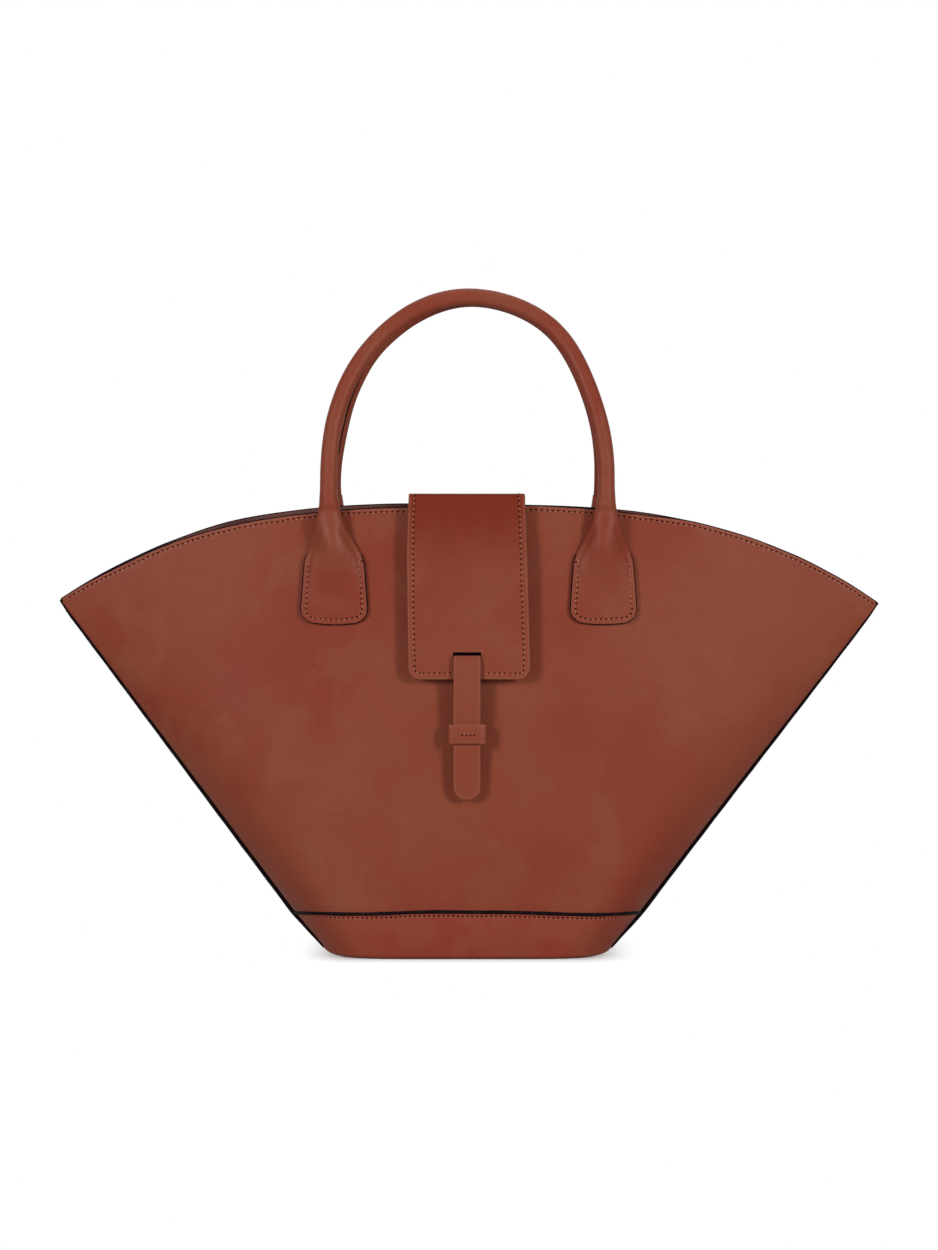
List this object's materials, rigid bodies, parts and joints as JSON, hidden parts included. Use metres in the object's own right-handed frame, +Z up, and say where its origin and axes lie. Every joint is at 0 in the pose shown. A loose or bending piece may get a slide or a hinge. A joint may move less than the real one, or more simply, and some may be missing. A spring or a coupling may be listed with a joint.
{
  "type": "tote bag",
  "caption": "Wing-shaped leather tote bag with rolled top handles, a flap over the open mouth, and a strap with a keeper hanging from the flap.",
  "frame": {"origin": "on the ground, at the middle of the flat base", "axes": "+X to the right of a viewer facing the front, -Y out of the front that carries the flap, +Z up"},
  "size_m": [0.4478, 0.1025, 0.3642],
  "materials": {
    "body_leather": "smooth calf leather with a soft sheen",
    "flap_leather": "smooth calf leather with a soft sheen, a little redder",
    "black_edge": "edge paint and piping, satin black",
    "lining": "matt twill",
    "board": "raw fibreboard",
    "cord": "twisted cotton",
    "snap_metal": "plated"
  },
  "bodies": {
    "bag_body": {"front_panel": "body_leather", "back_panel": "body_leather", "front_lining": "lining", "back_lining": "lining", "front_base_band": "body_leather", "back_base_band": "body_leather", "base_panel": "body_leather", "base_stiffener": "board", "base_lining": "lining", "left_side_piping": "black_edge", "right_side_piping": "black_edge", "front_base_piping": "black_edge", "back_base_piping": "black_edge", "front_left_tab": "body_leather", "front_right_tab": "body_leather", "back_left_tab": "body_leather", "back_right_tab": "body_leather", "flap_anchor": "flap_leather", "snap_socket": "snap_metal"},
    "front_handle": {"front_handle_leather": "body_leather", "front_handle_core": "cord"},
    "back_handle": {"back_handle_leather": "body_leather", "back_handle_core": "cord"},
    "flap_top": {"flap_bridge": "flap_leather", "flap_bridge_lining": "lining"},
    "flap_face": {"flap_front": "flap_leather", "flap_front_lining": "lining", "strap_anchor": "body_leather", "snap_stud": "snap_metal"},
    "closing_strap": {"strap": "body_leather", "keeper": "body_leather"}
  },
  "joints": [
    {"name": "front_handle_swing", "type": "hinge", "parent": "bag_body", "child": "front_handle", "pos_m": [0, -0.03539, 0.2512], "axis": [1, 0, 0], "range_deg": [0, 105]},
    {"name": "back_handle_swing", "type": "hinge", "parent": "bag_body", "child": "back_handle", "pos_m": [0, 0.03539, 0.2512], "axis": [-1, 0, 0], "range_deg": [0, 105]},
    {"name": "flap_back_fold", "type": "hinge", "parent": "bag_body", "child": "flap_top", "pos_m": [0, 0.0339, 0.253], "axis": [-1, 0, 0], "range_deg": [0, 100]},
    {"name": "flap_front_fold", "type": "hinge", "parent": "flap_top", "child": "flap_face", "pos_m": [0, -0.039, 0.253], "axis": [-1, 0, 0], "range_deg": [0, 150]},
    {"name": "strap_bend", "type": "hinge", "parent": "flap_face", "child": "closing_strap", "pos_m": [0, -0.04815, 0.16731], "axis": [-1, 0, 0], "range_deg": [0, 120]}
  ]
}
